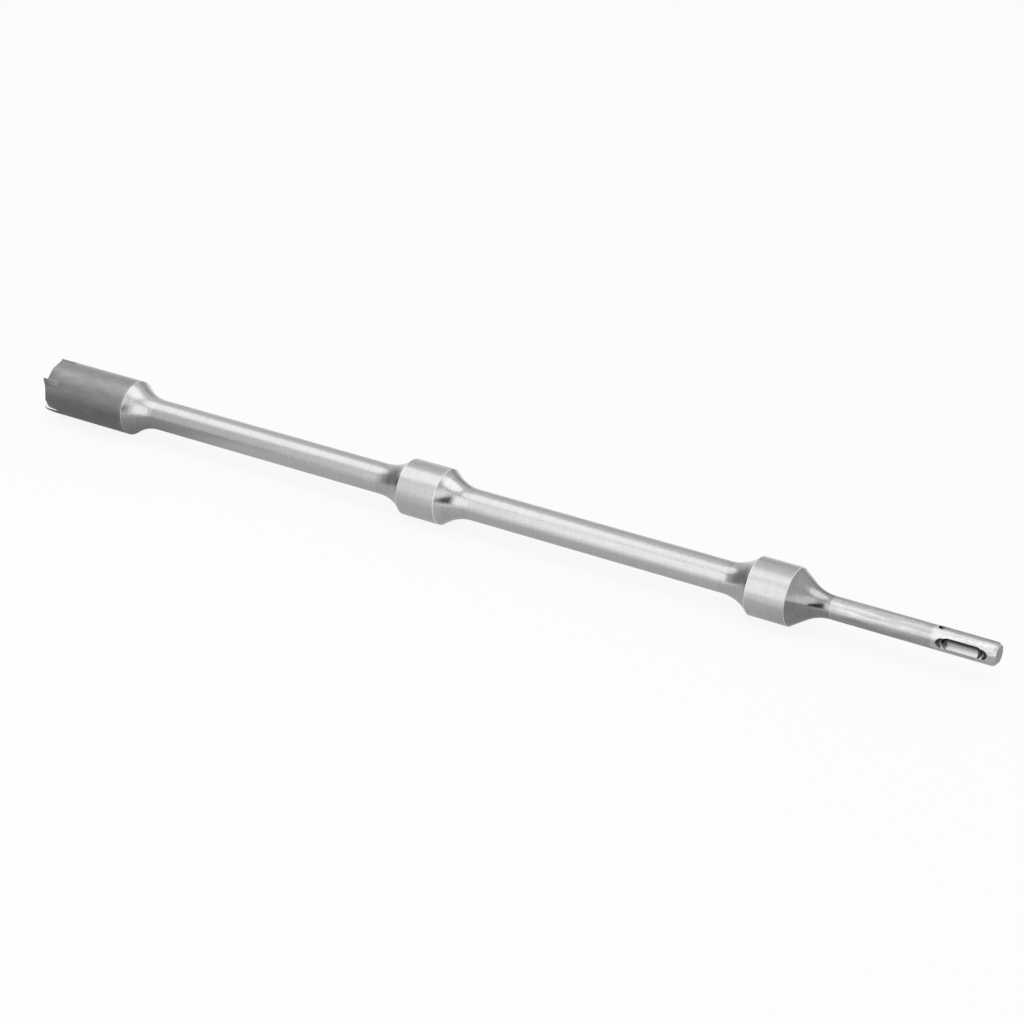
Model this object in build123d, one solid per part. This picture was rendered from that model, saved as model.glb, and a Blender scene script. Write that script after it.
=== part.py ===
from build123d import *
import math
import os

# Rebar cutter bit, in millimetres.
# X runs along the tool, from the struck end of the shank (0) to the cutting crown.
# Z is up while the tool lies on its head and guide collars.
# Angles round the tool are in degrees, from +Z towards +Y. The teeth cut the other way.

# Turned blank, from the shank to the head
shank_r = 5.0
shank_length = 88.0
neck_r = 7.0
rear_neck_length = 149.5
front_neck_length = 150.0
collar_r = 12.7
rear_collar_length = 18.5
front_collar_length = 19.5
head_r = 12.7
head_length = 44.5

# Flanks that climb to the collars and the head
cone_angle = 34.0
shank_fillet_r = 18.0
neck_fillet_r = 21.0
edge_chamfer = 0.4

# Struck end of the shank
end_chamfer_length = 1.4
end_chamfer_depth = 0.9

# Two closed grooves, for the locking balls of the chuck
ball_groove_angle = 81.0
ball_r = 3.5
ball_groove_floor = 3.1
ball_groove_start = 5.3
ball_groove_length = 18.0

# Shallow recess round each closed groove
recess_margin = 2.0
recess_width = 5.3
recess_depth = 0.85
recess_wall_angle = 52.0

# Two drive grooves, open at the struck end
drive_groove_length = 26.2
drive_groove_width = 3.5
drive_groove_floor = 3.5

# Hollow of the head, which takes the core of the cut
core_r = 8.5
core_depth = 32.0
core_point_angle = 59.0

# Teeth of the crown, with heights above the rim
tooth_count = 5
tooth_angle = 50.0
tooth_height = 2.6
relief_angle = 31.0
heel_height = 0.7
heel_angle = 10.0
valley_r = 9.0

# Gash that opens the outside of each tooth's face
gash_length = 4.8
gash_depth = 0.6
gash_angle = 25.0

# Carbide tips, brazed into seats through the crown's wall
tip_thickness = 2.4
tip_seat_depth = 6.0
tip_proud = 0.15

# How far a cutting tool runs past the metal
overrun = 3.0

# Stations along X
rear_collar_x = shank_length
rear_neck_x = rear_collar_x + rear_collar_length
front_collar_x = rear_neck_x + rear_neck_length
front_neck_x = front_collar_x + front_collar_length
head_x = front_neck_x + front_neck_length
rim_x = head_x + head_length
crest_x = rim_x + tooth_height

tooth_pitch = 360.0 / tooth_count
reach = head_r + tip_proud + overrun


def turned(shape, angle):
    """Move a shape that is drawn at +Z round the tool."""
    return Rot(-angle, 0, 0) * shape


def rear_flank(foot_r, top_x, top_r, fillet_r):
    """Fillet, cone and chamfer that climb to the rear edge of a ring."""
    turn = math.radians(cone_angle)
    edge_r = top_r - edge_chamfer
    cone_rise = edge_r - foot_r - fillet_r * (1 - math.cos(turn))
    foot_x = top_x - cone_rise / math.tan(turn) - fillet_r * math.sin(turn)
    fillet_edge = JernArc((foot_x, foot_r), (1, 0), fillet_r, cone_angle)
    cone = Line(fillet_edge @ 1, (top_x, edge_r))
    bevel = Line(cone @ 1, (top_x + edge_chamfer, top_r))
    return [fillet_edge, cone, bevel]


def front_flank(top_x, top_r, foot_r, fillet_r):
    """Chamfer and hollow sweep that fall from the front edge of a ring."""
    edge_r = top_r - edge_chamfer
    turn = math.acos(1 - (edge_r - foot_r) / fillet_r)
    fall = (math.cos(turn), -math.sin(turn))
    bevel = Line((top_x - edge_chamfer, top_r), (top_x, edge_r))
    sweep_edge = JernArc((top_x, edge_r), fall, fillet_r, math.degrees(turn))
    return [bevel, sweep_edge]


def blank():
    """The turned blank, as long as the crests of the teeth."""
    flanks = [
        rear_flank(shank_r, rear_collar_x, collar_r, shank_fillet_r),
        front_flank(rear_neck_x, collar_r, neck_r, neck_fillet_r),
        rear_flank(neck_r, front_collar_x, collar_r, neck_fillet_r),
        front_flank(front_neck_x, collar_r, neck_r, neck_fillet_r),
        rear_flank(neck_r, head_x, head_r, neck_fillet_r),
    ]
    struck_end = Polyline(
        (0, 0),
        (0, shank_r - end_chamfer_depth),
        (end_chamfer_length, shank_r),
        flanks[0][0] @ 0,
    )
    edges = struck_end.edges()
    for flank, following in zip(flanks, flanks[1:]):
        edges += flank + [Line(flank[-1] @ 1, following[0] @ 0)]
    edges += flanks[-1]
    front = Polyline(flanks[-1][-1] @ 1, (crest_x, head_r), (crest_x, 0), (0, 0))
    edges += front.edges()
    return revolve(make_face(Wire(edges)), Axis.X)


def ball_groove():
    """Cutter for a closed groove: a channel with ball ends in a shallow recess."""
    centre_z = ball_groove_floor + ball_r
    end_inset = math.sqrt(ball_r**2 - (centre_z - shank_r) ** 2)
    ball_xs = (
        ball_groove_start + end_inset,
        ball_groove_start + ball_groove_length - end_inset,
    )
    channel = Pos(sum(ball_xs) / 2, 0, centre_z) * Rot(0, 90, 0) * Cylinder(ball_r, ball_xs[1] - ball_xs[0])
    for ball_x in ball_xs:
        channel += Pos(ball_x, 0, centre_z) * Sphere(ball_r)
    recess_length = ball_groove_length + 2 * recess_margin
    centre_x = ball_groove_start + ball_groove_length / 2
    outline = Plane((centre_x, 0, shank_r)) * SlotOverall(recess_length, recess_width)
    recess = extrude(outline, -recess_depth, taper=recess_wall_angle)
    return channel + recess


def drive_groove():
    """Cutter for a groove that runs out at the struck end."""
    half_width = drive_groove_width / 2
    floor = Plane((0, 0, drive_groove_floor))
    straight = Pos((drive_groove_length - half_width - overrun) / 2, 0) * Rectangle(
        drive_groove_length - half_width + overrun, drive_groove_width
    )
    round_end = Pos(drive_groove_length - half_width, 0) * Circle(half_width)
    return extrude(floor * (straight + round_end), shank_r)


def core_hole():
    """Cutter for the hollow of the head, with a drill point at its bottom."""
    bottom_x = rim_x - core_depth
    point_x = bottom_x - core_r / math.tan(math.radians(core_point_angle))
    outline = Polyline(
        (point_x, 0),
        (bottom_x, core_r),
        (crest_x + overrun, core_r),
        (crest_x + overrun, 0),
        close=True,
    )
    return revolve(make_face(outline), Axis.X)


def sector(start_angle, end_angle):
    """The wedge of space between two angles round the tool, from the head out past the crests."""
    middle = (start_angle + end_angle) / 2
    corners = [
        (2 * reach * math.sin(math.radians(angle)), 2 * reach * math.cos(math.radians(angle)))
        for angle in (start_angle, middle, end_angle)
    ]
    base = Plane.YZ.offset(head_x) * make_face(Polyline((0, 0), *corners, close=True))
    return extrude(base, crest_x + overrun - head_x)


def relief_cutter():
    """Cutter for the relief behind a tooth at +Z, up to the face of the tooth that follows."""
    relief_slope = math.tan(math.radians(relief_angle))
    heel_slope = math.tan(math.radians(heel_angle))
    heel_y = head_r * math.sin(math.radians(tooth_pitch))
    heel_foot = heel_height - heel_slope * heel_y
    corner_y = (tooth_height - heel_foot) / (relief_slope + heel_slope)
    corner = (corner_y, tooth_height - relief_slope * corner_y)
    heel_end = (reach, heel_foot + heel_slope * reach)
    surface = FilletPolyline((0, tooth_height), corner, heel_end, radius=valley_r)
    top = tooth_height + overrun
    above = Polyline(heel_end, (reach, top), (0, top), (0, tooth_height))
    rim_plane = Plane((rim_x, 0, 0), x_dir=(0, 1, 0), z_dir=(0, 0, -1))
    outline = rim_plane * make_face(Wire(surface.edges() + above.edges()))
    return extrude(outline, -reach) & sector(0, tooth_pitch)


def gash_cutter():
    """Cutter that slopes off the rim's outer corner ahead of a tooth at +Z."""
    turn = math.radians(gash_angle)
    deep_end = Vector(rim_x - gash_length, 0, head_r)
    rim_end = Vector(rim_x, -head_r * math.sin(turn), head_r * math.cos(turn))
    rim_inside = Vector(rim_x, 0, head_r - gash_depth)
    normal = (rim_end - deep_end).cross(rim_inside - deep_end)
    if normal.Z < 0:
        normal = -normal
    slope = Plane(deep_end, z_dir=normal)
    block = extrude(slope * Rectangle(4 * reach, 4 * reach), reach)
    return block & sector(-tooth_pitch / 2, 0)


def tip_seat():
    """The slot through the crown's wall that a tip at +Z is brazed into."""
    height = crest_x + overrun - (rim_x - tip_seat_depth)
    middle_x = rim_x - tip_seat_depth + height / 2
    return Pos(middle_x, tip_thickness / 2, reach / 2) * Box(height, tip_thickness, reach)


def carbide_tip():
    """A tip at +Z: it fills its seat, and stands proud of the head's outside."""
    length = crest_x - head_x
    ring = Cylinder(head_r + tip_proud, length) - Cylinder(core_r, length)
    wall = Pos(head_x + length / 2, 0, 0) * Rot(0, 90, 0) * ring
    return (wall & tip_seat()) - relief_cutter()


def cutter_body():
    """Shank, necks, guide collars and the head with its crown."""
    body = blank() - core_hole()
    for side in (0, 180):
        body -= turned(ball_groove(), ball_groove_angle + side)
        body -= turned(drive_groove(), ball_groove_angle + side - 90)
    for tooth in range(tooth_count):
        angle = tooth_angle + tooth * tooth_pitch
        for cutter in (relief_cutter(), gash_cutter(), tip_seat()):
            body -= turned(cutter, angle)
    return body


def main():
    os.makedirs("parts", exist_ok=True)
    export_step(cutter_body(), "parts/cutter_body.step")
    for tooth in range(tooth_count):
        tip = turned(carbide_tip(), tooth_angle + tooth * tooth_pitch)
        export_step(tip, f"parts/carbide_tip_{tooth + 1}.step")


main()
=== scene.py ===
import bmesh
import bpy
import math
from mathutils import Matrix, Vector


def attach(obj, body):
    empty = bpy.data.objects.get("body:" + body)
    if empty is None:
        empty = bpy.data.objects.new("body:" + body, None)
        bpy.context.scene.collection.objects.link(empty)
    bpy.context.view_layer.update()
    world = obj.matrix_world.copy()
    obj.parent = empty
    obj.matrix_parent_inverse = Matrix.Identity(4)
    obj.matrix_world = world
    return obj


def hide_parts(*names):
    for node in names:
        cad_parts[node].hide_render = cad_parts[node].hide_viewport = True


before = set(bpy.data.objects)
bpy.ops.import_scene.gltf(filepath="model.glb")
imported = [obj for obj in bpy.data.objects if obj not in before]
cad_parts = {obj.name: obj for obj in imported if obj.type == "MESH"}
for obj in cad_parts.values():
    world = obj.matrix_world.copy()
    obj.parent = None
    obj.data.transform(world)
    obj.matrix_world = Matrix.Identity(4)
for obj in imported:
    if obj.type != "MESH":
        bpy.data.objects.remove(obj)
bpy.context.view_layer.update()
scene = bpy.context.scene

# Rebar cutter bit. X runs from the struck end of the shank to the crown, Z is up.
# The tool's dictionaries hold millimetres and degrees, the meshes and the studio metres.
# Angles round the tool run from +Z towards +Y.
mm = 0.001
print("frame loaded")


# Node trees

class Wire:
    # One output of a node tree. Its sums and products add their own maths nodes.
    def __init__(self, tree, socket):
        self.tree = tree
        self.socket = socket

    def __add__(self, other): return maths(self.tree, "ADD", self, other)
    def __radd__(self, other): return maths(self.tree, "ADD", other, self)
    def __sub__(self, other): return maths(self.tree, "SUBTRACT", self, other)
    def __rsub__(self, other): return maths(self.tree, "SUBTRACT", other, self)
    def __mul__(self, other): return maths(self.tree, "MULTIPLY", self, other)
    def __rmul__(self, other): return maths(self.tree, "MULTIPLY", other, self)
    def __truediv__(self, other): return maths(self.tree, "DIVIDE", self, other)
    def __rtruediv__(self, other): return maths(self.tree, "DIVIDE", other, self)
    def __pow__(self, other): return maths(self.tree, "POWER", self, other)
    def __gt__(self, other): return maths(self.tree, "GREATER_THAN", self, other)
    def __lt__(self, other): return maths(self.tree, "LESS_THAN", self, other)


def addNode(tree, kind, settings=None, links=None, out=0):
    # Any node: its type, its settings, then the values or links of its sockets.
    node = tree.nodes.new(kind)
    for name, value in (settings or {}).items():
        setattr(node, name, value)
    for name, value in (links or {}).items():
        sockets = [s for s in node.inputs if s.enabled]
        socket = sockets[name] if isinstance(name, int) else next(s for s in sockets if s.name == name)
        if isinstance(value, Wire):
            tree.links.new(value.socket, socket)
        else:
            socket.default_value = value
    outputs = [s for s in node.outputs if s.enabled]
    found = outputs[out] if isinstance(out, int) else next(s for s in outputs if s.name == out)
    return Wire(tree, found)


def maths(tree, operation, *values):
    return addNode(tree, "ShaderNodeMath", {"operation": operation}, dict(enumerate(values)))


def splitVector(tree, vector):
    outputs = addNode(tree, "ShaderNodeSeparateXYZ", links={0: vector}).socket.node.outputs
    return [Wire(tree, s) for s in outputs]


def linkResult(tree, kind, wire):
    # Adds a tree's output node and links its first socket.
    result = tree.nodes.new(kind)
    tree.links.new(wire.socket, result.inputs[0])


def newTree(name, sizes):
    # A geometry tree with a named input for each size.
    tree = bpy.data.node_groups.new(name, "GeometryNodeTree")
    tree.interface.new_socket("Geometry", in_out="INPUT", socket_type="NodeSocketGeometry")
    tree.interface.new_socket("Geometry", in_out="OUTPUT", socket_type="NodeSocketGeometry")
    kinds = {int: "NodeSocketInt", float: "NodeSocketFloat", bpy.types.Object: "NodeSocketObject"}
    for label, value in sizes.items():
        tree.interface.new_socket(label, in_out="INPUT", socket_type=kinds[type(value)])
    group = tree.nodes.new("NodeGroupInput")
    given = {s.name: Wire(tree, s) for s in group.outputs if s.name}
    return tree, given


def runTree(tree, base, sizes, name):
    # Runs a tree on a mesh object and keeps the result as a plain mesh object.
    modifier = base.modifiers.new(name, "NODES")
    modifier.node_group = tree
    for socket in tree.interface.items_tree:
        if socket.in_out == "INPUT" and socket.name in sizes:
            modifier[socket.identifier] = sizes[socket.name]
    graph = bpy.context.evaluated_depsgraph_get()
    result = base.evaluated_get(graph)
    mesh = bpy.data.meshes.new_from_object(result, preserve_all_data_layers=True, depsgraph=graph)
    base.modifiers.remove(modifier)
    if mesh.materials and mesh.materials[0] is None:
        # The base had no material, so its empty slot goes
        numbers = [max(face.material_index - 1, 0) for face in mesh.polygons]
        mesh.materials.pop(index=0)
        mesh.polygons.foreach_set("material_index", numbers)
    mesh.name = name
    return placeMesh(name, mesh)


def weld(tree, geometry, distance):
    return addNode(tree, "GeometryNodeMergeByDistance", links={"Geometry": geometry, "Distance": distance})


def endTree(tree, geometry, finishes, sharpAngle=24.0):
    # Closes a tree: smooth but for sharp edges, and painted by each face's "finish" number.
    geometry = addNode(
        tree, "GeometryNodeSetShadeSmooth", {"domain": "FACE"}, {"Geometry": geometry, "Shade Smooth": True}
    )
    edgeAngle = addNode(tree, "GeometryNodeInputMeshEdgeAngle", out="Unsigned Angle")
    geometry = addNode(
        tree, "GeometryNodeSetShadeSmooth", {"domain": "EDGE"},
        {"Geometry": geometry, "Shade Smooth": edgeAngle < math.radians(sharpAngle)},
    )
    finish = addNode(tree, "GeometryNodeInputNamedAttribute", {"data_type": "INT"}, {"Name": "finish"})
    for number, material in enumerate(finishes):
        chosen = addNode(
            tree, "FunctionNodeCompare", {"data_type": "INT", "operation": "EQUAL"},
            {"A": finish, "B": number},
        )
        painted = {"Geometry": geometry, "Selection": chosen, "Material": material}
        geometry = addNode(tree, "GeometryNodeSetMaterial", links=painted)
    linkResult(tree, "NodeGroupOutput", geometry)


# Mesh objects

welds = {"cutter": 1e-7, "blank": 1e-6, "body": 2e-6}   # reach of each weld, in metres


def placeMesh(name, mesh):
    made = bpy.data.objects.new(name, mesh)
    scene.collection.objects.link(made)
    return made


def meshObject(name, vertices, edges=(), faces=()):
    mesh = bpy.data.meshes.new(name)
    mesh.from_pydata([Vector(v) for v in vertices], list(edges), list(faces))
    return placeMesh(name, mesh)


def bmeshObject(name, work):
    bmesh.ops.remove_doubles(work, verts=work.verts, dist=welds["cutter"])
    bmesh.ops.recalc_face_normals(work, faces=work.faces)
    mesh = bpy.data.meshes.new(name)
    work.to_mesh(mesh)
    work.free()
    return placeMesh(name, mesh)


def drop(*objects):
    for item in objects:
        bpy.data.objects.remove(item, do_unlink=True)


# Finishes

textures = {
    # noises: scale along X, Y and Z, detail, roughness, seed
    "waver": ((60, 40, 40), 2, 0.55, 0),
    "fine": ((2300, 110, 110), 4, 0.65, 0),
    "broad": ((420, 120, 120), 3, 0.55, 3),
    "grain": ((1300, 1300, 1300), 3, 0.65, 7),
    "streak": ((60, 1000, 1000), 3, 0.55, 9),
    "mottle": ((150, 480, 480), 4, 0.62, 1),
    "cloud": ((60, 160, 160), 3, 0.50, 5),
    "millStreak": ((200, 1400, 1400), 3, 0.55, 0),
    "millCloud": ((300, 500, 500), 2, 0.55, 2),
    "grindScratch": ((900, 2600, 300), 3, 0.55, 0),
    "grindCloud": ((260, 260, 260), 2, 0.55, 2),
    "boreRings": ((1500, 40, 40), 3, 0.55, 0),
    "boreCloud": ((90, 120, 120), 3, 0.55, 4),
    "tipGrain": ((4200, 4200, 4200), 2, 0.55, 0),
    "tipGrind": ((700, 3600, 700), 3, 0.55, 2),
    "brazeFlow": ((1200, 1200, 1200), 3, 0.55, 0),
}
seedSteps = (1.0, 0.7, 1.3)

steelTint = (1.00, 1.01)                # red and blue, as shares of green
brazeTint = (1.05, 0.88)

steelLooks = {
    "groundTone": 0.43,                 # necks, collars and shank, ground to size
    "groundMarks": (0.30, 0.40, 0.16),  # how far fine marks, grain and streaks change the tone
    "groundRoughness": 0.29,
    "shankStreaks": 1.1,
    "streakStart": (0.2, 1.2),          # the shank's end face has none
    "groovedStretchLight": (27.6, 1.0, 0.57),    # end, soft edge and tone of the grooved stretch, painted paler as painted light
    "flankShadeTones": (0.29, 0.39, 0.41, 0.39, 0.43),   # flanks, left as turned, from shank to head; their differing tones are painted shade, darkest on the flank beside the shank
    "flankMarks": (0.55, 0.35, 0.30),   # fine marks, broad marks and grain
    "flankRoughness": (0.21, 0.22, 0.22, 0.24, 0.28),
    "flankSoft": (0.1, 0.6),            # at a ring's edge, and where a flank runs out
    "edgeHighlightTone": 0.80,                   # painted highlight along the collars' chamfered edges
    "edgeWidth": 0.20,
    "frontEdge": (-0.10, 0.12),
    "edgeSoft": 0.04,
    "headTone": 0.205,                  # hardened, dark head under a film of oil
    "headMarks": (0.62, 0.34, 0.50),    # mottle, clouds and grain
    "headRoughness": 0.44,
    "headFilm": (1.0, 0.38),            # weight and roughness of the oil
    "headEdgeTone": 0.25,               # paler band before the head's rear edge
    "headEdgeBand": (0.9, 2.0),
    "zoneSoft": 0.10,
    "roughnessSpread": 0.14,
    "markPitch": 1.0,                   # turning marks on the flanks
    "markWaver": 1.2,
    "markDepth": 0.0018,
    "fineDepth": 0.0030,
    "grainDepth": 0.006,
    "mottleDepth": 0.02,
}

grooveLooks = {
    "floorTone": 0.50,                  # bright milled floors
    "shadedWallTone": 0.12,                   # painted shade on the walls of the closed grooves that face down
    # painted shade: a black line along the upper rims, a dark line along the lower ones, dark crescents on
    # the recess walls
    "rimShadeTone": 0.015,
    "lowerRimShadeTone": 0.12,
    "recessShadeTone": 0.06,
    "endTone": 0.10,                    # round ends, out of the light
    "driveTone": 0.62,
    "marks": (0.30, 0.16),              # streaks and clouds
    "roughness": (0.26, 0.12),          # least, and what the clouds add
    "markDepth": 0.006,
    "shadeTurn": (-1.4, 0.6),           # across a groove, from its lit wall to its dark one
    "wallShadeRise": (0.2, 1.1),            # where the painted wall shade rises, from the channel's middle
    "upperRim": (-0.75, 0.40, 0.15),    # from the channel's rim: inner, outer, soft edge
    "lowerRim": (-0.18, 0.10, 0.06),
    "channelSoft": 0.1,
    "pastRim": (0.60, 0.80),
    "channelEnd": (0.5, 1.1),           # past the balls' stations
    "recessWall": (1.0, 1.3),           # from the recess's middle
    "driveEnd": 0.5,
}

plainLooks = {
    # tone, least share of it, textures and the share that each adds,
    # least roughness and what the last texture adds, depth of the first texture, tint
    "groundSteel": (0.28, 0.76, {"grindScratch": 0.28, "grindCloud": 0.20}, (0.38, 0.12), 0.006, steelTint),
    "boredSteel": (0.26, 0.70, {"boreRings": 0.35, "boreCloud": 0.30}, (0.42, 0.12), 0.010, steelTint),
    "braze": (0.15, 0.70, {"brazeFlow": 0.60}, (0.40, 0.10), 0.030, brazeTint),
}

tipLooks = {
    "tone": 0.235,
    "marks": (0.35, 0.45),              # grain and grinding
    "faceTone": 0.90,                   # lapped faces
    "faceMarks": (0.25,),
    "faceReach": (0.01, 0.03),
    "roughness": (0.40, 0.12, -0.10),   # least, what the grain adds, what the face adds
    "grindDepth": 0.004,
    "grainDepth": 0.003,
}


def newMaterial(name):
    material = bpy.data.materials.new(name)
    material.use_nodes = True
    tree = material.node_tree
    tree.nodes.clear()
    return material, tree


def closeMaterial(tree, colour, roughness, height=None, metallic=1.0, more=None):
    # Adds the shader. The height of the bump is in millimetres.
    links = {"Base Color": colour, "Metallic": metallic, "Roughness": roughness, **(more or {})}
    if height is not None:
        bump = {"Strength": 1.0, "Distance": mm, "Height": height}
        links["Normal"] = addNode(tree, "ShaderNodeBump", links=bump, out="Normal")
    linkResult(tree, "ShaderNodeOutputMaterial", addNode(tree, "ShaderNodeBsdfPrincipled", links=links))


def surfacePlace(tree):
    # Place in metres, since every piece lies untransformed in the shared frame.
    return addNode(tree, "ShaderNodeTexCoord", out="Object")


def noise(tree, place, texture):
    scale, detail, roughness, seed = textures[texture]
    location = tuple(seed * step for step in seedSteps)
    moved = addNode(
        tree, "ShaderNodeMapping", {"vector_type": "POINT"},
        {"Vector": place, "Location": location, "Scale": scale},
    )
    return addNode(
        tree, "ShaderNodeTexNoise", {"noise_dimensions": "3D"},
        {"Vector": moved, "Scale": 1.0, "Detail": detail, "Roughness": roughness},
    )


def between(tree, value, low, high, start=0.0, end=1.0):
    # A smooth ramp from low to high.
    return addNode(
        tree, "ShaderNodeMapRange", {"interpolation_type": "SMOOTHSTEP", "clamp": True},
        {"Value": value, "From Min": low, "From Max": high, "To Min": start, "To Max": end},
    )


def past(tree, value, edge, soft):
    # 0 before an edge and 1 past it.
    return between(tree, value, edge - soft, edge + soft)


def within(tree, value, low, high, soft):
    # 1 between two edges.
    return past(tree, value, low, soft) * (1.0 - past(tree, value, high, soft))


def toward(tone, share, target):
    return tone + share * (target - tone)


def marked(tone, layers, amounts):
    # A tone times its textures, each as a factor round 1.
    for texture, amount in zip(layers, amounts):
        tone = tone * (1.0 + (texture - 0.5) * amount)
    return tone


def tinted(tree, tone, tint=steelTint):
    red, blue = tint
    channels = {"Red": tone * red, "Green": tone, "Blue": tone * blue}
    return addNode(tree, "ShaderNodeCombineColor", {"mode": "RGB"}, channels)


def turnedSteelFinish(zones):
    looks = steelLooks
    material, tree = newMaterial("turnedSteel")
    place = surfacePlace(tree)
    x = splitVector(tree, place)[0]
    zoneSoft = looks["zoneSoft"] * mm
    onHead = past(tree, x, zones["head"] * mm, zoneSoft)
    onShank = 1.0 - past(tree, x, zones["shank"] * mm, zoneSoft)
    flankTone, flankRoughness, onFlank, onEdgeHighlight = 0.0, 0.0, 0.0, 0.0
    # Each flank takes its own tone: painted shade, darkest on the flank beside the shank.
    flanks = zip(looks["flankShadeTones"], looks["flankRoughness"], zones["flanks"])
    for tone, dullness, (low, lowSoft, high, highSoft) in flanks:
        here = past(tree, x, low * mm, lowSoft * mm) * (1.0 - past(tree, x, high * mm, highSoft * mm))
        flankTone = here * tone + flankTone
        flankRoughness = here * dullness + flankRoughness
        onFlank = here + onFlank
    for low, high in zones["edges"]:
        onEdgeHighlight = within(tree, x, low * mm, high * mm, looks["edgeSoft"] * mm) + onEdgeHighlight

    # Turning marks: rings across the tool, broken a little round it
    waver, fine, broad, grain, streak, mottle, cloud = (
        noise(tree, place, name) for name in ("waver", "fine", "broad", "grain", "streak", "mottle", "cloud")
    )
    turns = (x / mm + waver * looks["markWaver"]) * (2.0 * math.pi / looks["markPitch"])
    rings = maths(tree, "SINE", turns)

    bandStart, bandEnd = (zones["head"] + step for step in looks["headEdgeBand"])
    inBand = 1.0 - between(tree, x, bandStart * mm, bandEnd * mm)
    headTone = toward(looks["headTone"], inBand, looks["headEdgeTone"])
    headTone = marked(headTone, (mottle, cloud, grain), looks["headMarks"])
    groundTone = marked(looks["groundTone"], (fine, grain, streak), looks["groundMarks"])
    streakStart, streakFull = looks["streakStart"]
    behindEnd = between(tree, x, streakStart * mm, streakFull * mm)
    groundTone = groundTone * (1.0 + onShank * behindEnd * (streak - 0.5) * looks["shankStreaks"])
    # Painted light: the grooved stretch of the shank is made paler than the rest.
    zoneEnd, soft, zoneTone = looks["groovedStretchLight"]
    paler = zoneTone / looks["groundTone"]
    groundTone = groundTone * between(tree, x, (zoneEnd - soft) * mm, (zoneEnd + soft) * mm, paler, 1.0)
    flankTone = marked(flankTone, (fine, broad, grain), looks["flankMarks"])
    tone = groundTone * (1.0 - onFlank) + flankTone
    tone = toward(tone, onHead, headTone)
    # Painted highlight: the chamfer edges are made paler.
    tone = toward(tone, onEdgeHighlight, looks["edgeHighlightTone"])

    roughness = looks["groundRoughness"] * (1.0 - onFlank) + flankRoughness
    roughness = roughness + onHead * (looks["headRoughness"] - looks["groundRoughness"])
    for texture in (broad, grain):
        roughness = roughness + (texture - 0.5) * looks["roughnessSpread"]

    height = rings * onFlank * looks["markDepth"] + fine * looks["fineDepth"]
    height = height + grain * looks["grainDepth"] + onHead * mottle * looks["mottleDepth"]
    filmWeight, filmRoughness = looks["headFilm"]
    film = {"Coat Weight": onHead * filmWeight, "Coat Roughness": filmRoughness}
    closeMaterial(tree, tinted(tree, tone), roughness, height, more=film)
    return material


def fromSpine(tree, x, across, startX, endX):
    # Millimetres from the line between two stations on a groove's middle.
    beyond = maths(tree, "ABSOLUTE", x - (startX + endX) / 2 * mm) - (endX - startX) / 2 * mm
    beyond = maths(tree, "MAXIMUM", beyond, 0.0)
    return (beyond * beyond + across * across) ** 0.5 / mm


def milledSteelFinish():
    # Drive grooves, bright but for painted shade at their round ends, and closed grooves with painted shade
    # on the walls that face down, along their rims and on the recess walls.
    looks = grooveLooks
    material, tree = newMaterial("milledSteel")
    place = surfacePlace(tree)
    x, y, z = splitVector(tree, place)
    turn = math.radians(grooves["angle"])
    across = y * math.cos(turn) - z * math.sin(turn)
    outward = y * math.sin(turn) + z * math.cos(turn)
    closed = maths(tree, "ABSOLUTE", outward) > maths(tree, "ABSOLUTE", across)
    facesDown = between(tree, across * maths(tree, "SIGN", outward) * -1.0 / mm, *looks["shadeTurn"])

    ends = ballEnds()
    fromChannel = fromSpine(tree, x, across, *ends)
    recessStart, recessEnd = recessEnds()
    recessHalf = grooves["recessWidth"] / 2
    fromRecess = fromSpine(tree, x, across, recessStart + recessHalf, recessEnd - recessHalf)
    rimRise = ballCentre() - shape["shankRadius"] + grooves["recessDepth"]
    rim = math.sqrt(grooves["ballRadius"] ** 2 - rimRise ** 2)

    def rimLine(inner, outer, soft):
        return within(tree, fromChannel, rim + inner, rim + outer, soft)

    # Painted shade: black along the upper rim, dark along the lower rim, and over the walls that face down.
    upperRim = rimLine(*looks["upperRim"]) * facesDown
    lowerRim = rimLine(*looks["lowerRim"]) * (1.0 - facesDown)
    scale = between(tree, fromChannel, *looks["wallShadeRise"]) * facesDown
    inChannel = 1.0 - past(tree, fromChannel, rim, looks["channelSoft"])
    halfway, half = (ends[0] + ends[1]) / 2, (ends[1] - ends[0]) / 2
    fromMiddle = maths(tree, "ABSOLUTE", x - halfway * mm) / mm
    atEnd = between(tree, fromMiddle, *(half + step for step in looks["channelEnd"]))
    outside = between(tree, fromChannel, *(rim + step for step in looks["pastRim"]))
    onWall = between(tree, fromRecess, *looks["recessWall"])
    driveTurn = grooves["driveLength"] - grooves["driveWidth"] / 2
    driveEnd = between(tree, x / mm, driveTurn, grooves["driveLength"] - looks["driveEnd"])

    # Painted shade darkens the walls that face down, the rims, the round ends and the recess walls.
    closedTone = toward(looks["floorTone"], scale, looks["shadedWallTone"])
    closedTone = toward(closedTone, atEnd * inChannel, looks["endTone"])
    closedTone = toward(closedTone, upperRim, looks["rimShadeTone"])
    closedTone = toward(closedTone, lowerRim, looks["lowerRimShadeTone"])
    closedTone = toward(closedTone, outside * onWall, looks["recessShadeTone"])
    # Painted shade: each drive groove darkens towards its round end.
    driveTone = toward(looks["driveTone"], driveEnd, looks["rimShadeTone"])
    streak, cloud = (noise(tree, place, name) for name in ("millStreak", "millCloud"))
    tone = marked(toward(driveTone, closed, closedTone), (streak, cloud), looks["marks"])
    least, dulling = looks["roughness"]
    closeMaterial(tree, tinted(tree, tone), least + dulling * cloud, streak * looks["markDepth"])
    return material


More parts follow.
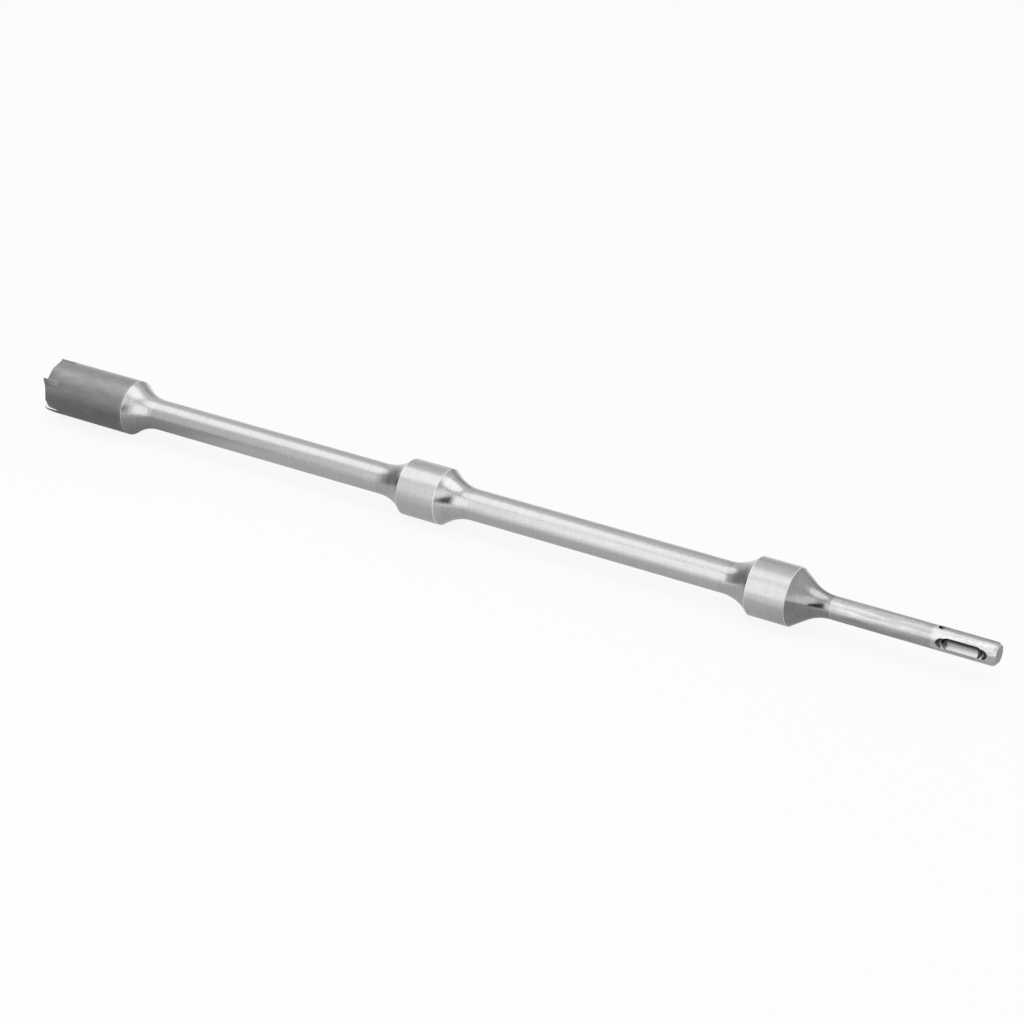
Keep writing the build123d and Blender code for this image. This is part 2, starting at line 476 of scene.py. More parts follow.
def plainFinish(name):
    tone, share, added, (least, dulling), depth, tint = plainLooks[name]
    material, tree = newMaterial(name)
    place = surfacePlace(tree)
    layers = [noise(tree, place, texture) for texture in added]
    for layer, amount in zip(layers, added.values()):
        share = share + amount * layer
    closeMaterial(tree, tinted(tree, tone * share, tint), least + dulling * layers[-1], layers[0] * depth)
    return material


def carbideFinish():
    looks = tipLooks
    material, tree = newMaterial("carbide")
    place = surfacePlace(tree)
    grain, grind = (noise(tree, place, name) for name in ("tipGrain", "tipGrind"))
    fromFace = addNode(tree, "ShaderNodeAttribute", {"attribute_name": "fromFace"}, out="Fac")
    onFace = 1.0 - between(tree, fromFace, *looks["faceReach"])
    faceTone = marked(looks["faceTone"], (grind,), looks["faceMarks"])
    tone = toward(marked(looks["tone"], (grain, grind), looks["marks"]), onFace, faceTone)
    least, grainShare, faceShare = looks["roughness"]
    roughness = least + grainShare * grain + faceShare * onFace
    height = grind * looks["grindDepth"] + grain * looks["grainDepth"]
    closeMaterial(tree, tinted(tree, tone), roughness, height)
    return material


# Turned blank

shape = {
    "shankRadius": 5.0,
    "endChamferLength": 1.4,
    "endChamferDepth": 0.9,
    "neckRadius": 7.0,
    "ringRadius": 12.7,             # collars and head
    "edgeChamfer": 0.4,
    "rearCollar": (88.0, 106.5),
    "frontCollar": (256.0, 275.5),
    "headStart": 425.5,
    "rim": 470.0,
    "coneAngle": 34.0,
    "shankFillet": 18.0,
    "neckFillet": 21.0,
    "boreRadius": 8.5,
    "boreDepth": 32.0,
    "borePointAngle": 59.0,
    "boreZone": (40.0, 0.1),        # what counts as bored: depth from the rim, and slack round it
    "toothHeight": 2.6,
    "spare": 1.0,                   # metal past the crests, which the relief cutters take away
}

blankMesh = {
    "segments": 240,
    "arcStep": 2.0,
    "endRing": 2.0,                 # extra ring of the struck end face
    "groovedEnd": 32.0,             # short steps up to here
    "groovedStep": 2.0,
    "neckStep": 6.0,
    "headStep": 3.0,
    "pointRings": 4,
}


def edgeRadius():
    return shape["ringRadius"] - shape["edgeChamfer"]


def climbFoot(footRadius, topX, filletRadius):
    # Station where the fillet before a ring starts.
    turn = math.radians(shape["coneAngle"])
    rise = edgeRadius() - footRadius - filletRadius * (1 - math.cos(turn))
    return topX - rise / math.tan(turn) - filletRadius * math.sin(turn)


def fallTurn(footRadius, filletRadius):
    # Angle of the sweep behind a ring.
    return math.acos(1 - (edgeRadius() - footRadius) / filletRadius)


def climb(outline, footRadius, topX, filletRadius):
    # Fillet, cone and chamfer up to the rear edge of a ring.
    turn = math.radians(shape["coneAngle"])
    footX = climbFoot(footRadius, topX, filletRadius)
    steps = round(shape["coneAngle"] / blankMesh["arcStep"])
    runTo(outline, footX)
    for step in range(steps + 1):
        a = turn * step / steps
        outline.append((footX + filletRadius * math.sin(a), footRadius + filletRadius * (1 - math.cos(a))))
    outline += [(topX, edgeRadius()), (topX + shape["edgeChamfer"], shape["ringRadius"])]


def fall(outline, topX, footRadius, filletRadius):
    # Chamfer and hollow sweep down from the front edge of a ring.
    turn = fallTurn(footRadius, filletRadius)
    steps = round(math.degrees(turn) / blankMesh["arcStep"])
    runTo(outline, topX - shape["edgeChamfer"])
    outline += [(topX - shape["edgeChamfer"], shape["ringRadius"])]
    for step in range(steps + 1):
        a = turn * (1 - step / steps)
        along = filletRadius * (math.sin(turn) - math.sin(a))
        outline.append((topX + along, footRadius + filletRadius * (1 - math.cos(a))))


def runTo(outline, endX, longest=blankMesh["neckStep"]):
    # Straight run at the radius that the outline has reached.
    startX, radius = outline[-1]
    count = math.ceil(abs(endX - startX) / longest)
    outline += [(startX + (endX - startX) * step / count, radius) for step in range(1, count)]


def blankOutline():
    shank, neck, fillet = shape["shankRadius"], shape["neckRadius"], shape["neckFillet"]
    outline = [
        (0.0, 0.0), (0.0, blankMesh["endRing"]), (0.0, shank - shape["endChamferDepth"]),
        (shape["endChamferLength"], shank),
    ]
    runTo(outline, blankMesh["groovedEnd"], blankMesh["groovedStep"])
    outline.append((blankMesh["groovedEnd"], shank))
    climb(outline, shank, shape["rearCollar"][0], shape["shankFillet"])
    fall(outline, shape["rearCollar"][1], neck, fillet)
    climb(outline, neck, shape["frontCollar"][0], fillet)
    fall(outline, shape["frontCollar"][1], neck, fillet)
    climb(outline, neck, shape["headStart"], fillet)
    frontX = shape["rim"] + shape["toothHeight"] + shape["spare"]
    runTo(outline, frontX, blankMesh["headStep"])
    bore, boreX = shape["boreRadius"], shape["rim"] - shape["boreDepth"]
    outline += [(frontX, shape["ringRadius"]), (frontX, bore)]
    runTo(outline, boreX, blankMesh["headStep"])
    pointLength = bore / math.tan(math.radians(shape["borePointAngle"]))
    rings = blankMesh["pointRings"]
    outline += [(boreX - pointLength * step / rings, bore * (1 - step / rings)) for step in range(rings + 1)]
    return outline


def blankTree(sizes):
    # Spins the outline round X: each row of a grid takes one point of it.
    tree, given = newTree("turnedBlank", sizes)
    outline = given["Geometry"]
    stations = addNode(
        tree, "GeometryNodeAttributeDomainSize", links={"Geometry": outline}, out="Point Count"
    )
    grid = addNode(
        tree, "GeometryNodeMeshGrid",
        links={"Size X": 1.0, "Size Y": 1.0, "Vertices X": stations, "Vertices Y": given["Segments"] + 1},
    )
    place = addNode(tree, "GeometryNodeInputPosition")
    row, turn = (value + 0.5 for value in splitVector(tree, place)[:2])
    row = maths(tree, "ROUND", row * (stations - 1))
    point = addNode(
        tree, "GeometryNodeSampleIndex", {"data_type": "FLOAT_VECTOR"},
        {"Geometry": outline, "Value": place, "Index": row},
    )
    along, side, radius = splitVector(tree, point)
    turn = turn * (2 * math.pi)
    y, z = (radius * maths(tree, kind, turn) for kind in ("SINE", "COSINE"))
    spun = addNode(tree, "ShaderNodeCombineXYZ", links={"X": along, "Y": y, "Z": z})
    blank = addNode(tree, "GeometryNodeSetPosition", links={"Geometry": grid, "Position": spun})
    linkResult(tree, "NodeGroupOutput", weld(tree, blank, welds["blank"]))
    return tree


# Cutters, each drawn for a tooth or groove at +Z

crown = {
    "toothCount": 5,
    "firstTooth": 50.0,
    "reliefAngle": 31.0,
    "heelHeight": 0.7,
    "heelAngle": 10.0,
    "valleyRadius": 9.0,
    "gashLength": 4.8,
    "gashDepth": 0.6,
    "gashAngle": 25.0,
    "seatDepth": 6.0,
    "tipThickness": 2.4,
    "tipProud": 0.15,
    "tipBevel": 0.09,
    "tipBevelAngle": 40.0,
}

crownCuts = {
    "headroom": 6.0,                # past the rim
    "reach": 16.0,
    "reliefTop": 20.0,
    "reliefRows": (-1.0, 0.0, 1.1, 2.3),
    "valleyRows": (2.3, 6.0, 22),   # start, length, count
    "heelRows": (10.0, 12.0, 14.0),
    "gashBlock": ((-2.0, -7.0, 12.0), (20.0, 14.0, 20.0)),  # centre from the rim, sides
    "seatSlack": 0.004,
    "seatInside": 5.0,
    "tipRows": 8,
}

grooves = {
    "angle": 81.0,
    "ballRadius": 3.5,
    "ballFloor": 3.1,
    "ballStart": 5.3,
    "ballLength": 18.0,
    "recessMargin": 2.0,
    "recessWidth": 5.3,
    "recessDepth": 0.85,
    "recessWall": 52.0,
    "driveLength": 26.2,
    "driveWidth": 3.5,
    "driveFloor": 3.5,
}

grooveCuts = {
    "ballStep": 6.0,
    "ballSides": 72,
    "slotSteps": 20,
    "recessOver": 0.5,              # past the shank's surface
    "driveSteps": 24,
    "driveOverrun": 2.0,
    "driveTop": 8.0,
}


def reliefHeight(y):
    # Height above the rim behind a tooth's face: relief, hollow valley, then the next heel.
    relief, heel = math.radians(crown["reliefAngle"]), math.radians(crown["heelAngle"])
    fallSlope, riseSlope = math.tan(relief), math.tan(heel)
    heelY = shape["ringRadius"] * math.sin(2 * math.pi / crown["toothCount"])
    heelFoot = crown["heelHeight"] - riseSlope * heelY
    cornerY = (shape["toothHeight"] - heelFoot) / (fallSlope + riseSlope)
    cornerHeight = shape["toothHeight"] - fallSlope * cornerY
    radius = crown["valleyRadius"]
    tangent = radius * math.tan((relief + heel) / 2)
    arcStart = cornerY - tangent * math.cos(relief)
    arcEnd = cornerY + tangent * math.cos(heel)
    if y <= arcStart:
        return shape["toothHeight"] - fallSlope * max(y, 0.0)
    if y >= arcEnd:
        return cornerHeight + riseSlope * (y - cornerY)
    centreY = arcStart + radius * math.sin(relief)
    centreHeight = shape["toothHeight"] - fallSlope * arcStart + radius * math.cos(relief)
    return centreHeight - math.sqrt(radius ** 2 - (y - centreY) ** 2)


def solid(name, sections):
    # Closed solid through rings of equal length.
    size, last = len(sections[0]), len(sections) - 1
    faces = [tuple(range(size))[::-1], tuple(range(last * size, (last + 1) * size))]
    for index in range(last):
        low, high = index * size, (index + 1) * size
        for corner in range(size):
            following = (corner + 1) % size
            faces.append((low + corner, low + following, high + following, high + corner))
    work = bmesh.new()
    points = [work.verts.new(Vector(point) * mm) for section in sections for point in section]
    for face in faces:
        work.faces.new([points[i] for i in face])
    return bmeshObject(name, work)


def extruded(name, ring, lowZ, highZ):
    return solid(name, [[(x, y, z) for x, y in ring] for z in (lowZ, highZ)])


def reliefCutter():
    start, length, count = crownCuts["valleyRows"]
    valley = [start + length * step / count for step in range(1, count + 1)]
    rows = [*crownCuts["reliefRows"], *valley, *crownCuts["heelRows"], crownCuts["reach"]]
    sectorSlope = 1 / math.tan(2 * math.pi / crown["toothCount"])
    topX, outer = shape["rim"] + crownCuts["headroom"], crownCuts["reliefTop"]
    sections = []
    for y in rows:
        bottom = shape["rim"] + reliefHeight(y)
        inner = max(y, 0.0) * sectorSlope
        sections.append([(bottom, y, inner), (bottom, y, outer), (topX, y, outer), (topX, y, inner)])
    return solid("reliefCutter", sections)


def gashCutter():
    # Half a tooth's sector of a block, above the plane that slopes off the rim's corner.
    turn, outer, rim = math.radians(crown["gashAngle"]), shape["ringRadius"], shape["rim"]
    deepEnd = Vector((rim - crown["gashLength"], 0, outer))
    rimEnd = Vector((rim, -outer * math.sin(turn), outer * math.cos(turn)))
    rimInside = Vector((rim, 0, outer - crown["gashDepth"]))
    slope = (rimEnd - deepEnd).cross(rimInside - deepEnd).normalized()
    if slope.z < 0:
        slope.negate()
    half = math.pi / crown["toothCount"]
    sector = Vector((0, -math.cos(half), -math.sin(half)))
    (blockX, blockY, blockZ), sides = crownCuts["gashBlock"]
    place = Matrix.Translation((rim + blockX, blockY, blockZ)) @ Matrix.Diagonal((*sides, 1.0))
    work = bmesh.new()
    bmesh.ops.create_cube(work, size=1.0, matrix=place)
    for point, away in ((deepEnd, -slope), (Vector((0, 0, 0)), sector)):
        whole = work.verts[:] + work.edges[:] + work.faces[:]
        cut = bmesh.ops.bisect_plane(work, geom=whole, plane_co=point, plane_no=away, clear_outer=True)
        bmesh.ops.holes_fill(work, edges=[e for e in cut["geom_cut"] if isinstance(e, bmesh.types.BMEdge)])
    bmesh.ops.scale(work, vec=(mm, mm, mm), verts=work.verts)
    return bmeshObject("gashCutter", work)


def seatCutter():
    low, high = shape["rim"] - crown["seatDepth"], shape["rim"] + crownCuts["headroom"]
    near, far = -crownCuts["seatSlack"], crown["tipThickness"] + crownCuts["seatSlack"]
    ring = [(low, near), (high, near), (high, far), (low, far)]
    return extruded("seatCutter", ring, crownCuts["seatInside"], crownCuts["reach"])


def ballCentre():
    return grooves["ballFloor"] + grooves["ballRadius"]


def ballEnds():
    # Stations of the balls at both ends of a closed groove.
    inset = math.sqrt(grooves["ballRadius"] ** 2 - (ballCentre() - shape["shankRadius"]) ** 2)
    return grooves["ballStart"] + inset, grooves["ballStart"] + grooves["ballLength"] - inset


def recessEnds():
    # Stations of both ends of the recess round a closed groove.
    startX = grooves["ballStart"] - grooves["recessMargin"]
    return startX, startX + grooves["ballLength"] + 2 * grooves["recessMargin"]


def ballCutter():
    # Channel with ball ends, along X.
    centreZ, (rearX, frontX), radius = ballCentre(), ballEnds(), grooves["ballRadius"]
    outline = []
    for centreX, first in ((rearX, 180.0), (frontX, 90.0)):
        for step in range(round(90.0 / grooveCuts["ballStep"]) + 1):
            a = math.radians(first - grooveCuts["ballStep"] * step)
            outline.append((centreX + radius * math.cos(a), radius * math.sin(a)))
    turns = [2 * math.pi * k / grooveCuts["ballSides"] for k in range(grooveCuts["ballSides"])]
    sections = [[(x, r * math.sin(a), centreZ + r * math.cos(a)) for a in turns] for x, r in outline]
    return solid("ballCutter", sections)


def slot(startX, endX, width, z):
    # Ring of points with half-round ends.
    half, steps = width / 2, grooveCuts["slotSteps"]
    turns = [math.pi * k / steps for k in range(steps + 1)]
    ring = [(endX - half + half * math.sin(a), half * math.cos(a), z) for a in turns]
    ring += [(startX + half - half * math.sin(a), -half * math.cos(a), z) for a in turns]
    return ring


def recessCutter():
    slope = math.tan(math.radians(grooves["recessWall"]))
    startX, endX = recessEnds()
    sections = []
    for over in (-grooves["recessDepth"], grooveCuts["recessOver"]):
        inset = -over * slope
        width = grooves["recessWidth"] - 2 * inset
        sections.append(slot(startX + inset, endX - inset, width, shape["shankRadius"] + over))
    return solid("recessCutter", sections)


def driveCutter():
    half, steps, startX = grooves["driveWidth"] / 2, grooveCuts["driveSteps"], -grooveCuts["driveOverrun"]
    turns = [math.pi * (k / steps - 0.5) for k in range(steps + 1)]
    ring = [(startX, half), (startX, -half)]
    ring += [(grooves["driveLength"] - half + half * math.cos(a), half * math.sin(a)) for a in turns]
    return extruded("driveCutter", ring, grooves["driveFloor"], grooveCuts["driveTop"])


# Cutter body

finishNumbers = {"turned": 0, "milled": 1, "ground": 2, "bored": 3}

machining = (
    # cutter, how many, angle of the first, finish that it leaves
    ("Relief Cutter", "Tooth Count", "First Tooth", "ground"),
    ("Gash Cutter", "Tooth Count", "First Tooth", "ground"),
    ("Seat Cutter", "Tooth Count", "First Tooth", "ground"),
    ("Ball Cutter", "Groove Pairs", "Groove Angle", "milled"),
    ("Recess Cutter", "Groove Pairs", "Groove Angle", "milled"),
    ("Drive Cutter", "Groove Pairs", "Drive Angle", "milled"),
)


def roundTheTool(tree, piece, count, angle, finish):
    # Copies of one piece at equal steps round the axis, marked with a finish.
    mesh = addNode(
        tree, "GeometryNodeObjectInfo", {"transform_space": "ORIGINAL"}, {"Object": piece}, out="Geometry"
    )
    places = addNode(
        tree, "GeometryNodeMeshLine", {"mode": "OFFSET"}, {"Count": count, "Offset": (0, 0, 0)}
    )
    order = addNode(tree, "GeometryNodeInputIndex")
    turn = (angle + order * (360.0 / count)) * -(math.pi / 180.0)
    rotation = addNode(tree, "FunctionNodeAxisAngleToRotation", links={"Axis": (1, 0, 0), "Angle": turn})
    copies = addNode(
        tree, "GeometryNodeInstanceOnPoints", links={"Points": places, "Instance": mesh, "Rotation": rotation}
    )
    copies = addNode(tree, "GeometryNodeRealizeInstances", links={"Geometry": copies})
    return markFinish(tree, copies, finish)


def markFinish(tree, geometry, finish):
    return addNode(
        tree, "GeometryNodeStoreNamedAttribute", {"data_type": "INT", "domain": "FACE"},
        {"Geometry": geometry, "Name": "finish", "Value": finish},
    )


def subtract(tree, metal, copies):
    # The copies may overlap, so they are made one solid first.
    cutter = addNode(
        tree, "GeometryNodeMeshBoolean", {"operation": "UNION", "solver": "EXACT"},
        {0: copies, "Self Intersection": True},
    )
    return addNode(
        tree, "GeometryNodeMeshBoolean", {"operation": "DIFFERENCE", "solver": "MANIFOLD"},
        {"Mesh 1": metal, "Mesh 2": cutter},
    )


def machiningTree(sizes, finishes):
    # Takes the crown's teeth and the shank's grooves out of the blank.
    tree, given = newTree("machining", sizes)
    along, y, z = splitVector(tree, addNode(tree, "GeometryNodeInputPosition"))
    radius = (y * y + z * z) ** 0.5
    depth, slack = shape["boreZone"]
    inBore = (along > (shape["rim"] - depth) * mm) * (radius < (shape["boreRadius"] + slack) * mm)
    metal = markFinish(tree, given["Geometry"], inBore * float(finishNumbers["bored"]))
    for cutter, count, angle, finish in machining:
        copies = roundTheTool(tree, given[cutter], given[count], given[angle], finishNumbers[finish])
        metal = subtract(tree, metal, copies)
    endTree(tree, weld(tree, metal, welds["body"]), finishes)
    return tree


def finishZones():
    # Stations of the flanks and of the chamfer edges that carry a painted highlight.
    chamfer, width = shape["edgeChamfer"], steelLooks["edgeWidth"]
    sharp, soft = steelLooks["flankSoft"]
    inner, outer = steelLooks["frontEdge"]
    neck = (shape["neckRadius"], shape["neckFillet"])
    rings = (
        (shape["rearCollar"], (shape["shankRadius"], shape["shankFillet"])),
        (shape["frontCollar"], neck),
        ((shape["headStart"], None), neck),
    )
    flanks, edges = [], []
    for (rear, front), (footRadius, fillet) in rings:
        foot = climbFoot(footRadius, rear, fillet)
        highlightStart = rear + chamfer - (width if front else width / 2)
        flanks.append((foot, soft if flanks else sharp, highlightStart, sharp))
        edges.append((highlightStart, rear + chamfer))
        if front:
            footX = front + shape["neckFillet"] * math.sin(fallTurn(*neck))
            flanks.append((front, sharp, footX, soft))
            edges.append((front - chamfer + inner, front - chamfer + outer))
    return {"head": shape["headStart"] + chamfer, "shank": flanks[0][0], "flanks": flanks, "edges": edges}


def makeCutterBody():
    finishes = [turnedSteelFinish(finishZones()), milledSteelFinish()]
    finishes += [plainFinish("groundSteel"), plainFinish("boredSteel")]
    outline = blankOutline()
    points = [(x * mm, 0.0, r * mm) for x, r in outline]
    profile = meshObject("blankOutline", points, [(i, i + 1) for i in range(len(outline) - 1)])
    turning = {"Segments": blankMesh["segments"]}
    blank = runTree(blankTree(turning), profile, turning, "turnedBlank")
    print("blank turned:", len(blank.data.polygons), "faces")
    cutters = {
        "Relief Cutter": reliefCutter(), "Gash Cutter": gashCutter(), "Seat Cutter": seatCutter(),
        "Ball Cutter": ballCutter(), "Recess Cutter": recessCutter(), "Drive Cutter": driveCutter(),
    }
    sizes = {
        "Tooth Count": crown["toothCount"], "First Tooth": crown["firstTooth"], "Groove Pairs": 2,
        "Groove Angle": grooves["angle"], "Drive Angle": grooves["angle"] - 90.0, **cutters,
    }
    body = runTree(machiningTree(sizes, finishes), blank, sizes, "turnedCutterBody")
    drop(profile, blank, *cutters.values())
    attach(body, "root")
    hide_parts("cutter_body")
    print("body machined:", len(body.data.polygons), "faces")


# Carbide tips and their braze

bead = {
    "start": 1.0,                   # along the tip's face, from its buried end
    "shortOfRelief": 0.15,
    "steps": 6,
    # distance from the tip, lift above the head's surface
    "section": (
        (-0.03, -0.06), (-0.03, 0.108), (0.05, 0.054), (0.14, 0.018), (0.30, -0.015), (0.30, -0.06),
    ),
}


def tipBlock():
    # One tip at +Z: it fills its seat and follows the relief behind the face.
    inner, outer = shape["boreRadius"], shape["ringRadius"] + crown["tipProud"]
    low = shape["rim"] - crown["seatDepth"]
    sections = []
    for step in range(crownCuts["tipRows"] + 1):
        y = crown["tipThickness"] * step / crownCuts["tipRows"]
        innerZ, outerZ = math.sqrt(inner ** 2 - y ** 2), math.sqrt(outer ** 2 - y ** 2)
        high = shape["rim"] + reliefHeight(y)
        sections.append([(low, y, innerZ), (low, y, outerZ), (high, y, outerZ), (high, y, innerZ)])
    tip = solid("tipBlock", sections)
    fromFace = tip.data.attributes.new("fromFace", "FLOAT", "POINT")
    for vertex, value in zip(tip.data.vertices, fromFace.data):
        value.value = vertex.co.y / mm
    bevel = tip.modifiers.new("edges", "BEVEL")
    bevel.width = crown["tipBevel"] * mm
    bevel.segments = 2
    bevel.limit_method = "ANGLE"
    bevel.angle_limit = math.radians(crown["tipBevelAngle"])
    return tip


def brazeBead():
    # Thin fillet of braze along the tip's buried edges, on the outside of the head.
    low, thick = shape["rim"] - crown["seatDepth"], crown["tipThickness"]
    high = shape["rim"] + reliefHeight(thick) - bead["shortOfRelief"]
    corners = (
        # station, side, direction away from the tip
        (low + bead["start"], 0.0, (0.0, -1.0)),
        (low, 0.0, (-1.0, -1.0)),
        (low, thick, (-1.0, 1.0)),
        (high, thick, (0.0, 1.0)),
    )
    path = []
    for (startX, startY, startOut), (endX, endY, endOut) in zip(corners, corners[1:]):
        for step in range(bead["steps"]):
            t = step / bead["steps"]
            out = Vector(startOut).lerp(Vector(endOut), t)
            path.append((startX + (endX - startX) * t, startY + (endY - startY) * t, out))
    path.append((high, thick, Vector(corners[-1][2])))
    sections = []
    for x, y, out in path:
        section = []
        for away, lift in bead["section"]:
            sideX, sideY = x + out.x * away, y + out.y * away
            radius = shape["ringRadius"] + lift
            section.append((sideX, sideY, math.sqrt(radius ** 2 - sideY ** 2)))
        sections.append(section)
    return solid("brazeBead", sections)


def repeatTree(name, sizes, finish):
    tree, given = newTree(name, sizes)
    copies = roundTheTool(tree, given["Piece"], given["Tooth Count"], given["First Tooth"], 0)
    endTree(tree, copies, [finish])
    return tree


def makeTips():
    for name, block, finish in (
        ("carbideTips", tipBlock(), carbideFinish()), ("tipBraze", brazeBead(), plainFinish("braze")),
    ):
        sizes = {"Piece": block, "Tooth Count": crown["toothCount"], "First Tooth": crown["firstTooth"]}
        carrier = meshObject("carrier", [(0, 0, 0)])
        piece = runTree(repeatTree(name, sizes, finish), carrier, sizes, name)
        drop(carrier, block)
        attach(piece, "root")
        print(name, "made:", len(piece.data.polygons), "faces")
    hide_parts(*[f"carbide_tip_{number}" for number in range(1, 6)])


# Studio

studio = {
    "cameraPlace": (-0.29898, 0.88440, 0.57017),
    "cameraAim": (0.44507, -0.75326, -0.48420),
    "lens": 95.69,
    "toolMiddle": (0.25, 0.0, 0.0),
    "floorSize": 6.0,
    "floorTone": 0.80,
    "floorRoughness": 0.80,
    "floorGlow": 0.88,              # share of plain white in the floor that the camera sees
    "floorInMetal": 0.70,           # share of plain grey in the floor that metal reflects
    "worldFill": 0.62,              # what the white surroundings give to dull surfaces
}

floorGlossShades = {
    # painted light and shade that only metal finds in the floor: where each grey starts and is full, and the
    # grey
    "middle": 0.84,
    "shank": (0.12, 0.02, 0.53),    # along the tool
    "head": (0.365, 0.425, 0.32),
    "behind": (0.0, -0.018, 0.25),  # across the tool, in steps away from it
    "fartherBehind": (-0.035, -0.055, 1.25),
    "farBehind": (-0.20, -0.60, 1.60),
}

floorGlossPatches = (
    # painted light and shade seen only in metal: from and to along the tool, from and to across it, change of
    # the floor's grey in metal
    ((0.05, 0.29), (0.05, 0.125), 0.78),
    ((0.21, 0.46), (0.13, 0.36), 0.80),
    ((-0.10, 0.11), (0.11, 0.44), -0.75),
    ((0.055, 0.085), (-0.005, 0.06), -0.24),
)
patchSoft = (0.03, 0.02)

lamps = {
    # shape, centre, direction of one side, direction of the other, their lengths, radiance
    "overhead": ("ELLIPSE", (1.071, 0.121, 1.20), (0.78, -0.625, 0), (0.625, 0.78, 0), 1.56, 1.12, 1.05),
    "sidePanel": ("RECTANGLE", (0.344, 0.504, 0.248), (1, 0, 0), (0, -0.424, 0.905), 0.43, 0.57, 1.00),
    "rearPanel": ("RECTANGLE", (-0.435, 0.50, 0.45), (1, 0, 0), (0, 0, 1), 0.63, 0.90, 0.70),
    "ceiling": ("ELLIPSE", (-0.24, -0.28, 1.20), (1, 0, 0), (0, 1, 0), 1.12, 1.25, 1.25),
}

blackFlag = {
    "x": (-0.22, 0.125),            # stands between the panels
    "y": 0.45,
    "tops": (0.08, 0.42),
    "tone": 0.02,
    "roughness": 0.9,
}

darkEnds = (
    # direction, angle of the full shade, angle of its end, share of the white that it takes
    ((0.98, 0.10, 0.03), 12.0, 52.0, 0.66),      # far end beyond the head
    ((0.035, -0.965, 0.259), 6.0, 25.0, 0.42),   # low behind the tool's flanks
    ((0.36, -0.80, 0.46), 4.0, 20.0, 0.20),      # high behind the tool
)


def rayKinds(tree):
    rays = addNode(tree, "ShaderNodeLightPath").socket.node.outputs
    return [Wire(tree, rays[name]) for name in ("Is Camera Ray", "Is Glossy Ray", "Is Transmission Ray")]


def makeFloor():
    # White for the camera but for the tool's shadow; for metal, painted light and shade in greys, brighter
    # than white far behind the tool.
    half, low = studio["floorSize"] / 2, -shape["ringRadius"] * mm
    corners = [(-half, -half, low), (half, -half, low), (half, half, low), (-half, half, low)]
    floor = meshObject("floor", corners, faces=[(0, 1, 2, 3)])
    material, tree = newMaterial("paleFloor")
    x, y = splitVector(tree, surfacePlace(tree))[:2]
    tone = floorGlossShades["middle"]
    for name in ("shank", "head"):
        start, end, grey = floorGlossShades[name]
        tone = tone + between(tree, x, start, end) * (grey - floorGlossShades["middle"])
    softX, softY = patchSoft
    for (left, right), (near, far), change in floorGlossPatches:
        tone = tone + within(tree, x, left, right, softX) * within(tree, y, near, far, softY) * change
    before = tone
    for name in ("behind", "fartherBehind", "farBehind"):
        start, end, grey = floorGlossShades[name]
        tone = tone + between(tree, y, start, end) * (grey - before)
        before = grey
    tone = maths(tree, "MAXIMUM", tone, 0.0)

    camera, gloss, glass = rayKinds(tree)
    dull = addNode(
        tree, "ShaderNodeBsdfPrincipled",
        links={"Base Color": (studio["floorTone"],) * 3 + (1.0,), "Roughness": studio["floorRoughness"]},
    )
    strength = camera + gloss * tone + glass
    white = addNode(tree, "ShaderNodeEmission", links={"Color": (1.0, 1.0, 1.0, 1.0), "Strength": strength})
    glow = camera * studio["floorGlow"] + (gloss + glass) * studio["floorInMetal"]
    mixed = addNode(tree, "ShaderNodeMixShader", links={0: glow, 1: dull, 2: white})
    linkResult(tree, "ShaderNodeOutputMaterial", mixed)
    floor.data.materials.append(material)


def makeFlag():
    # Only gloss finds it: it throws no shadow and takes no light from dull surfaces.
    low = -shape["ringRadius"] * mm
    (left, right), y, (leftTop, rightTop) = blackFlag["x"], blackFlag["y"], blackFlag["tops"]
    corners = [(left, y, low), (right, y, low), (right, y, rightTop), (left, y, leftTop)]
    flag = meshObject("blackFlag", corners, faces=[(0, 1, 2, 3)])
    material, tree = newMaterial("blackCloth")
    closeMaterial(tree, (blackFlag["tone"],) * 3 + (1.0,), blackFlag["roughness"], metallic=0.0)
    flag.data.materials.append(material)
    flag.visible_camera = flag.visible_diffuse = flag.visible_shadow = flag.visible_transmission = False


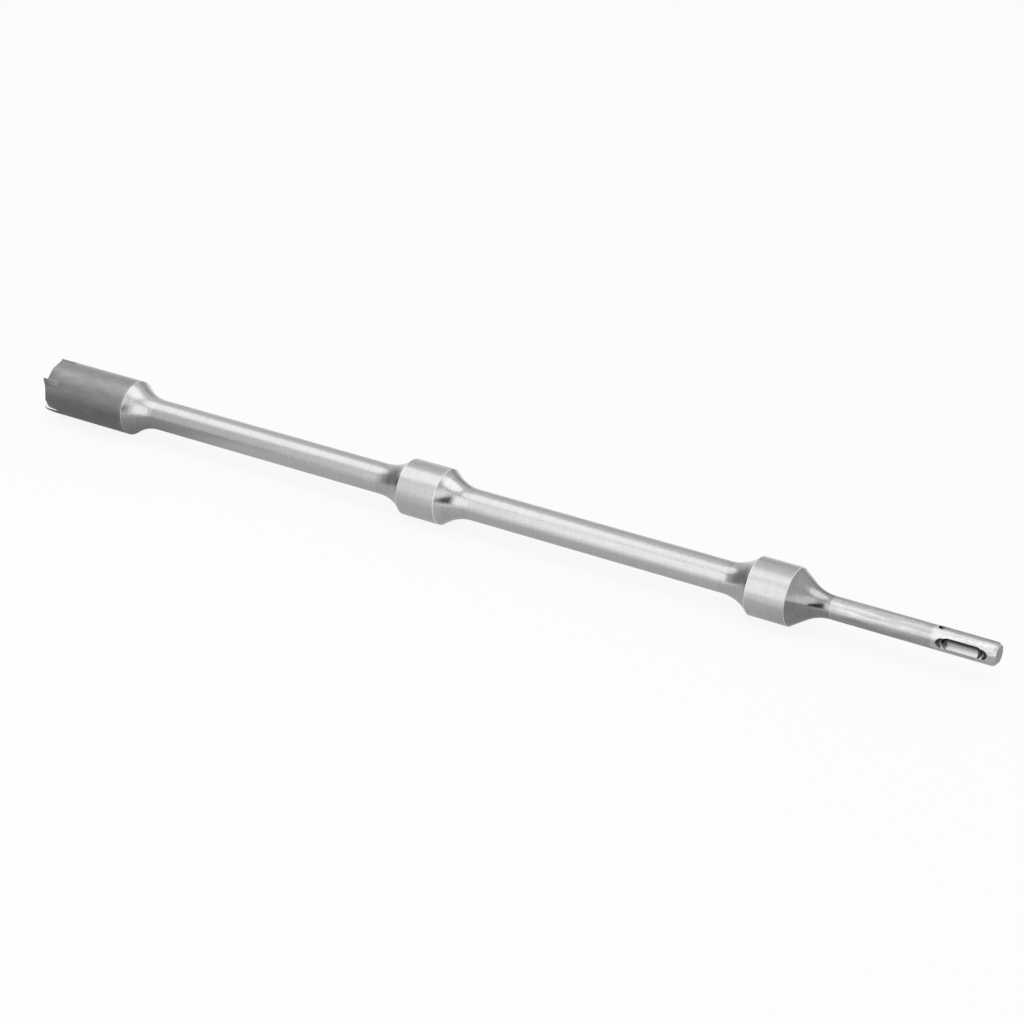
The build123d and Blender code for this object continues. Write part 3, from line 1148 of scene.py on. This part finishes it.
def makeLight():
    # White all round for the camera, gloss and glass. Gloss finds some directions darker.
    world = bpy.data.worlds.new("studio")
    scene.world = world
    world.use_nodes = True
    tree = world.node_tree
    tree.nodes.clear()
    direction = addNode(tree, "ShaderNodeTexCoord", out="Generated")
    shade = 0.0
    for centre, full, end, share in darkEnds:
        facing = addNode(
            tree, "ShaderNodeVectorMath", {"operation": "DOT_PRODUCT"},
            {0: direction, 1: Vector(centre).normalized()}, out="Value",
        )
        edges = math.cos(math.radians(end)), math.cos(math.radians(full))
        shade = between(tree, facing, *edges) * share + shade
    camera, gloss, glass = rayKinds(tree)
    fill = studio["worldFill"]
    strength = fill + (camera + glass) * (1.0 - fill) + gloss * (1.0 - fill - shade)
    white = {"Color": (1.0, 1.0, 1.0, 1.0), "Strength": strength}
    linkResult(tree, "ShaderNodeOutputWorld", addNode(tree, "ShaderNodeBackground", links=white))
    for name, lamp in lamps.items():
        makeLamp(name, *lamp)


def makeLamp(name, outline, place, along, across, length, width, radiance):
    # Flat lamp that faces the tool.
    data = bpy.data.lights.new(name, "AREA")
    data.shape = outline
    data.size, data.size_y = length, width
    area = length * width * (math.pi / 4 if outline == "ELLIPSE" else 1.0)
    data.energy = radiance * math.pi * area
    along, across = Vector(along).normalized(), Vector(across).normalized()
    away = along.cross(across)
    if away.dot(Vector(place) - Vector(studio["toolMiddle"])) < 0:
        across, away = -across, -away
    lamp = bpy.data.objects.new(name, data)
    lamp.matrix_world = Matrix.Translation(place) @ Matrix((along, across, away)).transposed().to_4x4()
    lamp.visible_camera = False
    scene.collection.objects.link(lamp)


def makeCamera():
    data = bpy.data.cameras.new("camera")
    data.lens = studio["lens"]
    data.sensor_width = 36.0
    data.clip_start, data.clip_end = 0.01, 50.0
    camera = bpy.data.objects.new("camera", data)
    camera.location = studio["cameraPlace"]
    camera.rotation_euler = Vector(studio["cameraAim"]).to_track_quat("-Z", "Y").to_euler()
    scene.collection.objects.link(camera)
    scene.camera = camera


makeCutterBody()
makeTips()
makeFloor()
makeFlag()
makeLight()
makeCamera()
scene.view_settings.view_transform = "Standard"
